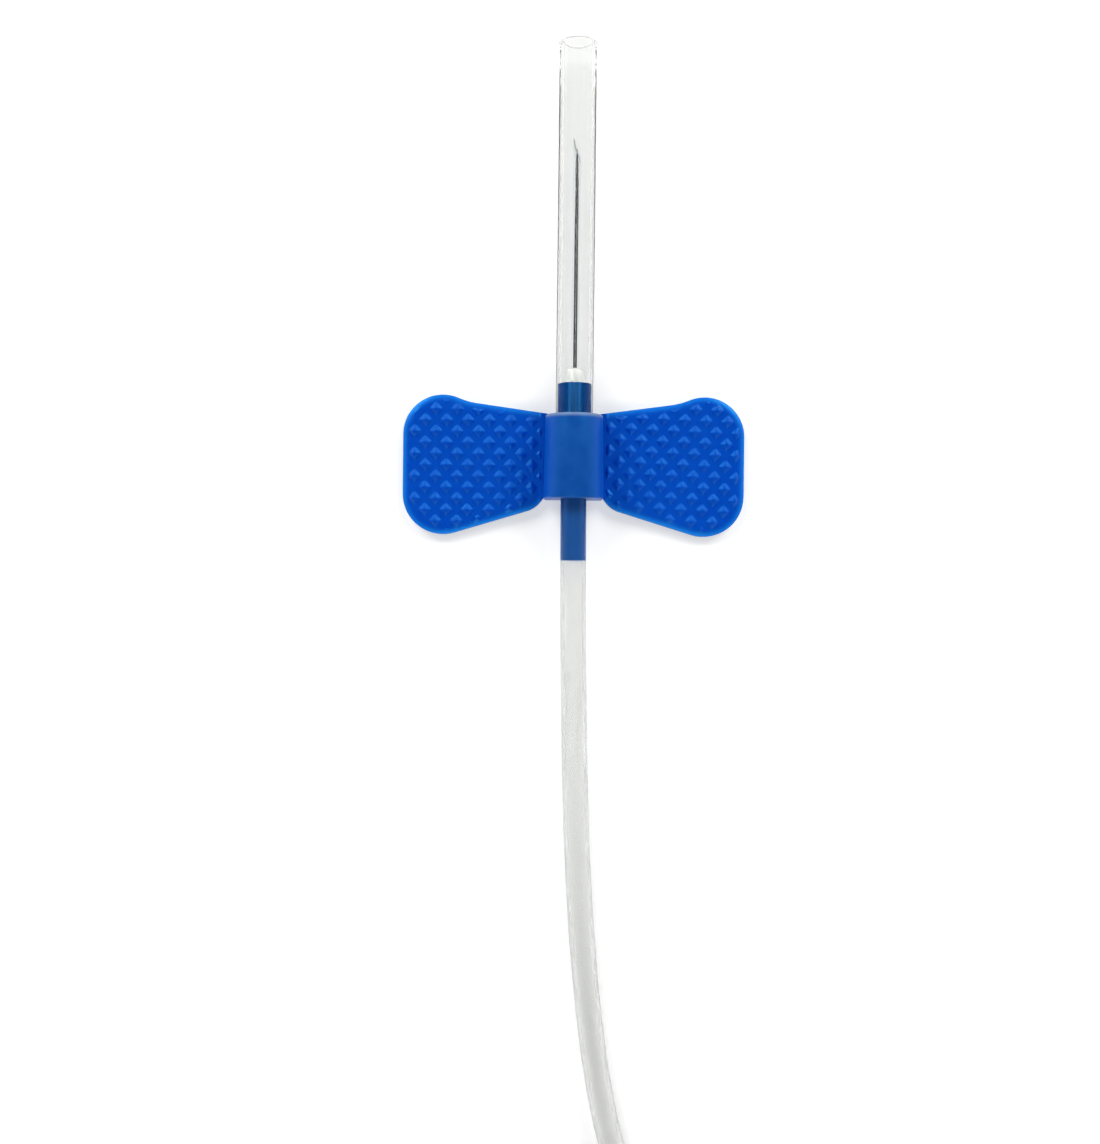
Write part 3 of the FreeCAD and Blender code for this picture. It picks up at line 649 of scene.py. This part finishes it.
# %% Hub
HUB_FRONT, HUB_SEAT = 6.05, 1.16
SPIGOT_BACK = -8.9
SHEATH_BORE = HUB_SEAT + PLAY
NEEDLE_RADIUS, NEEDLE_BORE = 0.32, 0.17
WET = 0.03

hub_bm = turned([
    (NEEDLE_RADIUS + TIGHT, HUB_FRONT),
    (SHEATH_BORE + WET, HUB_FRONT),
    (SHEATH_BORE + WET, BARREL_AHEAD - MOUTH_BEVEL),
    (CORE_RADIUS, BARREL_AHEAD - MOUTH_BEVEL),
    (CORE_RADIUS, CORE_BACK),
    (TUBE_BORE + WET, CORE_BACK),
    (TUBE_BORE + WET, SPIGOT_BACK),
    (NEEDLE_RADIUS + TIGHT, SPIGOT_BACK),
])
soften(hub_bm, width=0.06)
hub = finished(as_object("hub_stick", shift(hub_bm, z=AXIS_HEIGHT)), hub_blue)
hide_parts("needle_hub")
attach(hub, "set")


# %% Glue bead
BEAD_RADIUS, BEAD_HEIGHT, BEAD_FILM = 0.82, 1.28, 0.14
GLUE_SUNK, FILM_CREST = 0.02, 1.2
DOME_STEPS, DOME_POWER = 9, 0.7


def glue_dome(foot, way, seat, film, radius, height, hole):
    """A film of glue on a round seat, and a blunt dome round the needle. It points along way."""
    crest = film * FILM_CREST
    chain = [
        (hole, foot - way * GLUE_SUNK),
        (seat, foot - way * GLUE_SUNK),
        (seat, foot + way * film / 2),
        (seat - film / 2, foot + way * film),
    ]
    for step in range(DOME_STEPS + 1):
        turn = step / DOME_STEPS * math.pi / 2
        out = hole + (radius - hole) * math.cos(turn) ** DOME_POWER
        chain.append((out, foot + way * (crest + (height - crest) * math.sin(turn) ** DOME_POWER)))
    return turned(chain)


bead_bm = glue_dome(HUB_FRONT, 1, seat=SHEATH_BORE - TIGHT, film=BEAD_FILM, radius=BEAD_RADIUS,
                    height=BEAD_HEIGHT, hole=NEEDLE_RADIUS)
bead = finished(as_object("glue_bead", shift(bead_bm, z=AXIS_HEIGHT)), pale_glue)
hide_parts("needle_adhesive")
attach(bead, "set")


# %% [markdown]
# ## Needle
# The needle is a fine steel tube. Its point is ground three times: one long bevel, which here faces
# the right, and two small facets that turn the bevel's end into a blade. The ground faces get a
# second, duller finish, because a wheel leaves them darker than the drawn tube.

# %% Needle
NEEDLE_TIP, NEEDLE_TAIL = 27.05, 2.4
BEVEL, BEVEL_TURN = 15.0, 72.0
FACET, FACET_TURN = 19.0, 38.0
CANNULA_SIDES = 64
GROUND = 1


def grind(bm, tip, angle, turn, radius, way):
    """Grind the end off along a plane through its lowest line, turned about the needle."""
    lean = math.radians(angle)
    face = Vector((0, math.sin(lean) * way, math.cos(lean)))
    low = Vector((0, tip, -radius))
    about = Matrix.Rotation(math.radians(turn), 4, "Y")
    cut = bmesh.ops.bisect_plane(bm, geom=bm.verts[:] + bm.edges[:] + bm.faces[:], dist=LEVEL,
                                 plane_co=about @ low, plane_no=about @ face, clear_outer=True)
    rim = [e for e in cut["geom_cut"] if isinstance(e, bmesh.types.BMEdge)]
    filled = bmesh.ops.triangle_fill(bm, edges=rim, use_beauty=True)
    for part in filled["geom"]:
        if isinstance(part, bmesh.types.BMFace):
            part.material_index = GROUND


def cannula(tip, tail, radius, bore, bevel, turn=0.0, facets=()):
    """A steel tube with a bevel at its tip, and facets to the sides that are named by a sign."""
    profile = [(bore, tip), (radius, tip), (radius, tail), (bore, tail)]
    bm = turned(profile, steps=CANNULA_SIDES)
    way = 1 if tip > tail else -1
    grind(bm, tip, bevel, turn, radius, way)
    for side in facets:
        grind(bm, tip, FACET, turn + side * FACET_TURN, radius, way)
    bmesh.ops.recalc_face_normals(bm, faces=bm.faces)
    return bm


needle_bm = cannula(NEEDLE_TIP, NEEDLE_TAIL, NEEDLE_RADIUS, NEEDLE_BORE, BEVEL,
                    turn=BEVEL_TURN, facets=(-1, 1))
needle = as_object("steel_cannula", shift(needle_bm, z=AXIS_HEIGHT))
finished(needle, steel, sharp=20)
needle.data.materials.append(ground_steel)
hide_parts("needle")
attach(needle, "set")


# %% [markdown]
# ## Sheath
# A clear open tube is pushed over the hub's front. Both walls are drawn, because the inner one bends
# the light as much as the outer: that is what draws the pale and grey lines along it.

# %% Sheath
SHEATH_WALL, SHEATH_END = 0.4, 34.9
LIP, LIP_FOOT, LIP_TOP = 0.07, 0.35, 0.12
END_GAP = 0.05

outer = SHEATH_BORE + SHEATH_WALL
sheath_bm = turned([
    (SHEATH_BORE, BARREL_AHEAD + END_GAP),
    (outer, BARREL_AHEAD + END_GAP),
    (outer, SHEATH_END - LIP_FOOT),
    (outer + LIP, SHEATH_END - LIP_TOP),
    (outer + LIP / 2, SHEATH_END),
    (SHEATH_BORE, SHEATH_END),
])
soften(sheath_bm, width=0.05)
sheath = finished(as_object("clear_sheath", shift(sheath_bm, z=AXIS_HEIGHT)), sheath_clear)
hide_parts("needle_sheath")
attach(sheath, "sheath")


# %% [markdown]
# ## Tube
# The tube is one cord, about 300 mm long. It runs straight off the spigot, comes down to the floor
# and drifts to the right, as in the photograph. The rest, past the picture's edge, is wound in a
# flat coil of two layers, and ends in the rear hub. Its line is a NURBS spline that the points of
# the construction's route steer, with a point every 30 degrees in the coil. Two bevelled copies of
# the line give the outer and the inner wall.

# %% Route
LEAD_IN = [
    (0.0, -1.3, 2.75),
    (0.0, -15.0, 2.75),
    (0.85, -41.0, 1.1),
    (3.5, -59.8, 1.1),
    (8.75, -69.3, 1.1),
]
LEAD_OUT = [
    (9.8, -83.2, 4.2),
    (9.8, -94.99, 4.2),
]
COIL_X, COIL_Y = -3.0, -76.5
COIL_OUTER, STRAND, SECOND_IN = 13.2, 2.25, 0.35
LAYERS = (1.1, 3.32)
# Angles along the coil in degrees. It winds inwards until half way, climbs, and winds out again.
TURN_STEP, FULL_TURN, HALF_WAY, LAST = 30, 360, 540, 1080
CLIMB_STARTS, CLIMB_TAKES = 480, 120

coil = []
for degrees in range(0, LAST + 1, TURN_STEP):
    radius = COIL_OUTER - STRAND * (HALF_WAY - abs(degrees - HALF_WAY)) / FULL_TURN
    if degrees > HALF_WAY:
        radius -= SECOND_IN * (degrees - HALF_WAY) / HALF_WAY
    climb = min(1, max(0, (degrees - CLIMB_STARTS) / CLIMB_TAKES))
    reach = radius / math.cos(math.radians(TURN_STEP / 2))
    angle = math.radians(degrees)
    coil.append((COIL_X + reach * math.cos(angle), COIL_Y - reach * math.sin(angle),
                 LAYERS[0] + (LAYERS[1] - LAYERS[0]) * climb))
route = LEAD_IN + coil + LEAD_OUT
print("route:", len(route), "points")


# %% Tube walls
LINE_STEPS, ROUND_STEPS = 10, 14
# An open edge that is nearer than this to an end of the route belongs to that end.
END_REACH = 3


def line_mesh(radius):
    """The route's spline as a mesh, thickened to a radius. Without one it is the bare line."""
    line = bpy.data.curves.new("line", "CURVE")
    line.dimensions = "3D"
    line.bevel_depth = radius
    line.bevel_resolution = ROUND_STEPS
    line.resolution_u = LINE_STEPS
    spline = line.splines.new("NURBS")
    spline.points.add(len(route) - 1)
    for point, place in zip(spline.points, route):
        point.co = (*place, 1)
    spline.order_u = 3
    spline.use_endpoint_u = True
    thing = bpy.data.objects.new("line", line)
    bpy.context.collection.objects.link(thing)
    graph = bpy.context.evaluated_depsgraph_get()
    mesh = bpy.data.meshes.new_from_object(thing.evaluated_get(graph))
    bpy.data.objects.remove(thing)
    return mesh


path = [v.co * MM for v in line_mesh(0).vertices]
bm = bmesh.new()
bm.from_mesh(line_mesh(TUBE_RADIUS))
outside = len(bm.faces)
bm.from_mesh(line_mesh(TUBE_BORE))
bm.faces.ensure_lookup_table()
for face in bm.faces[outside:]:
    face.normal_flip()
open_edges = [e for e in bm.edges if e.is_boundary]
for end in (Vector(route[0]), Vector(route[-1])):
    near = [e for e in open_edges if (e.verts[0].co - end).length < END_REACH]
    bmesh.ops.bridge_loops(bm, edges=near)
bmesh.ops.recalc_face_normals(bm, faces=bm.faces)
tube = finished(as_object("clear_tube", bm), tube_clear)
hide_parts("tubing", "tubing_coil", "tubing_end")
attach(tube, "set")
print(f"tube: {sum((b - a).length for a, b in zip(path, path[1:])):.4f} m")


# %% [markdown]
# ## Rear hub
# The rear hub screws into a tube holder. It is one turned stick with ribs on its grip and a coarse
# right-handed thread. A rib is a bevelled bar, turned into its place. The thread is the ridge's
# section, spun round the hub while it moves back, so it winds as a screw does. Places are counted
# back from the socket's mouth.

# %% Rear sizes
MOUTH = Vector((9.8, -88.5, 4.2))
SOCKET_DEPTH, FLOW_BORE = 6.5, 0.6
GRIP_RADIUS, GRIP_BACK = 2.35, 7.5
FLANGE_RADIUS, FLANGE_BACK = 4.2, 8.6
THREAD_CORE, THREAD_CREST, THREAD_BACK = 3.0, 3.75, 14.2
THREAD_TURNS, THREAD_PITCH, THREAD_ROOT, THREAD_TOP = 2.35, 1.8, 0.95, 0.25
SEAT_RADIUS, SEAT_BACK = 2.45, 18.2
NOSE_RADIUS, NOSE_BACK = 1.2, 20.0
REAR_RADIUS, REAR_BORE, REAR_SEAT, REAR_POINT = 0.41, 0.27, 13.0, 32.5
REAR_BEVEL = 24.0


def to_rear(bm):
    return shift(bm, MOUTH.x, MOUTH.y, MOUTH.z)


def dressed(name, bm, finish, node, body, sharp=32):
    thing = finished(as_object(name, bm), finish, sharp)
    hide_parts(node)
    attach(thing, body)
    return thing


# %% Ribs
def add_ribs(bm, count, low, high, wide, front, back, round_off):
    """Bars along a turned piece, one beside the other round it, with soft tops."""
    for index in range(count):
        bar = bmesh.new()
        bmesh.ops.create_cube(bar, size=1.0)
        bmesh.ops.scale(bar, vec=(wide, front - back, high - low), verts=bar.verts)
        shift(bar, 0, (front + back) / 2, (high + low) / 2)
        soften(bar, round_off)
        turn = Matrix.Rotation(math.tau * index / count, 3, "Y")
        bmesh.ops.rotate(bar, matrix=turn, verts=bar.verts)
        merge(bm, bar)


# %% Thread
THREAD_GAP, THREAD_SUNK = 0.75, 0.15
THREAD_STEPS = 48
# The ridge fades in and out over this share of its length, down to a low crest.
FADE, FOOT_SKIN, LOW_CREST = 0.08, 0.05, 0.06


def add_thread(bm):
    """One ridge, spun round the hub and moved back by a pitch each turn, low at both its ends."""
    start = -(FLANGE_BACK + THREAD_GAP)
    foot = THREAD_CORE - THREAD_SUNK
    section = [
        (foot, THREAD_ROOT / 2),
        (foot, -THREAD_ROOT / 2),
        (THREAD_CREST, -THREAD_TOP / 2),
        (THREAD_CREST, THREAD_TOP / 2),
    ]
    ridge = bmesh.new()
    face = ridge.faces.new([ridge.verts.new((out, start + along, 0)) for out, along in section])
    bmesh.ops.spin(ridge, geom=[face], cent=(0, 0, 0), axis=(0, -1, 0),
                   dvec=(0, -THREAD_PITCH / THREAD_STEPS, 0), angle=math.tau * THREAD_TURNS,
                   steps=int(THREAD_TURNS * THREAD_STEPS), use_merge=False, use_duplicate=False)
    bmesh.ops.recalc_face_normals(ridge, faces=ridge.faces)
    length = THREAD_PITCH * THREAD_TURNS
    for v in ridge.verts:
        out = math.hypot(v.co.x, v.co.z)
        if out < foot + FOOT_SKIN:
            continue
        gone = (start - v.co.y) / length
        full = min(1, max(0, gone / FADE), max(0, (1 - gone) / FADE))
        lowered = (foot + LOW_CREST + (out - foot - LOW_CREST) * full) / out
        v.co.x *= lowered
        v.co.z *= lowered
    merge(bm, ridge)


# %% Rear hub
rear_bm = turned([
    (TUBE_RADIUS + TIGHT, 0),
    (GRIP_RADIUS, 0),
    (GRIP_RADIUS, -GRIP_BACK),
    (FLANGE_RADIUS, -GRIP_BACK),
    (FLANGE_RADIUS, -FLANGE_BACK),
    (THREAD_CORE, -FLANGE_BACK),
    (THREAD_CORE, -THREAD_BACK),
    (SEAT_RADIUS, -THREAD_BACK),
    (SEAT_RADIUS, -SEAT_BACK),
    (NOSE_RADIUS, -SEAT_BACK),
    (NOSE_RADIUS, -NOSE_BACK),
    (REAR_RADIUS + TIGHT, -NOSE_BACK),
    (REAR_RADIUS + TIGHT, -REAR_SEAT),
    (FLOW_BORE, -REAR_SEAT),
    (FLOW_BORE, -SOCKET_DEPTH),
    (TUBE_RADIUS + TIGHT, -SOCKET_DEPTH),
])
soften(rear_bm, width=0.12)
add_ribs(rear_bm, count=8, low=1.7, high=GRIP_RADIUS + 0.4, wide=0.45, front=-0.9,
         back=-GRIP_BACK - 0.1, round_off=0.12)
add_thread(rear_bm)
dressed("rear_threaded_hub", to_rear(rear_bm), rear_white, "rear_hub", "set")


# %% Rear needle and its glue
rear_steel = to_rear(cannula(-REAR_POINT, -REAR_SEAT, REAR_RADIUS, REAR_BORE, REAR_BEVEL))
rear_needle = dressed("rear_cannula", rear_steel, steel, "rear_needle", "set", sharp=20)
rear_needle.data.materials.append(ground_steel)
rear_glue = glue_dome(-NOSE_BACK, -1, seat=0.75, film=0.06, radius=0.72, height=0.48,
                      hole=REAR_RADIUS)
dressed("rear_glue", to_rear(rear_glue), pale_glue, "rear_adhesive", "set")


# %% [markdown]
# ## Rubber sleeve and cap
# A soft grey sleeve closes the rear needle until a sample tube pushes it back, and a ribbed cap goes
# over both. Both are turned, and closed at their far ends.

# %% Rubber sleeve
RUBBER_WALL, RUBBER_BORE, RUBBER_BACK = 0.42, 0.75, 33.4
RUBBER_CHAMFER, RUBBER_FLOOR, RUBBER_STEP = 0.3, 0.65, 0.52

rubber_grip = NOSE_RADIUS + PLAY
rubber_bm = turned([
    (rubber_grip, -SEAT_BACK - PLAY),
    (rubber_grip + RUBBER_WALL, -SEAT_BACK - PLAY),
    (rubber_grip + RUBBER_WALL, -NOSE_BACK - RUBBER_WALL),
    (RUBBER_BORE + RUBBER_WALL, -NOSE_BACK - RUBBER_WALL * 2),
    (RUBBER_BORE + RUBBER_WALL, -RUBBER_BACK + RUBBER_CHAMFER),
    (RUBBER_BORE + RUBBER_WALL - RUBBER_CHAMFER, -RUBBER_BACK),
    (0, -RUBBER_BACK),
    (0, -RUBBER_BACK + RUBBER_FLOOR),
    (RUBBER_BORE, -RUBBER_BACK + RUBBER_FLOOR),
    (RUBBER_BORE, -NOSE_BACK - RUBBER_STEP),
    (rubber_grip, -NOSE_BACK - RUBBER_STEP),
])
soften(rubber_bm, width=0.1, angle=20)
dressed("rubber_valve", to_rear(rubber_bm), rubber_grey, "rubber_sleeve", "set")


# %% Cap
CAP_WALL, CAP_ROOM = 0.6, 0.8
CAP_CHAMFER, CAP_STEP = 0.5, 0.25

cap_inside = RUBBER_BACK + CAP_ROOM
cap_mouth = SEAT_RADIUS + PLAY
cap_bm = turned([
    (cap_mouth, -THREAD_BACK - END_GAP),
    (cap_mouth + CAP_WALL, -THREAD_BACK - END_GAP),
    (cap_mouth + CAP_WALL, -cap_inside - CAP_WALL + CAP_CHAMFER),
    (cap_mouth + CAP_WALL - CAP_CHAMFER, -cap_inside - CAP_WALL),
    (0, -cap_inside - CAP_WALL),
    (0, -cap_inside),
    (cap_mouth - CAP_STEP, -cap_inside),
    (cap_mouth - CAP_STEP, -SEAT_BACK - PLAY),
    (cap_mouth, -SEAT_BACK - PLAY),
])
soften(cap_bm, width=0.12, angle=20)
add_ribs(cap_bm, count=8, low=cap_mouth + CAP_WALL / 2, high=cap_mouth + CAP_WALL + 0.3, wide=0.4,
         front=-THREAD_BACK - 1.0, back=-THREAD_BACK - 8.0, round_off=0.12)
dressed("ribbed_cap", to_rear(cap_bm), cap_white, "rear_cap", "cap")
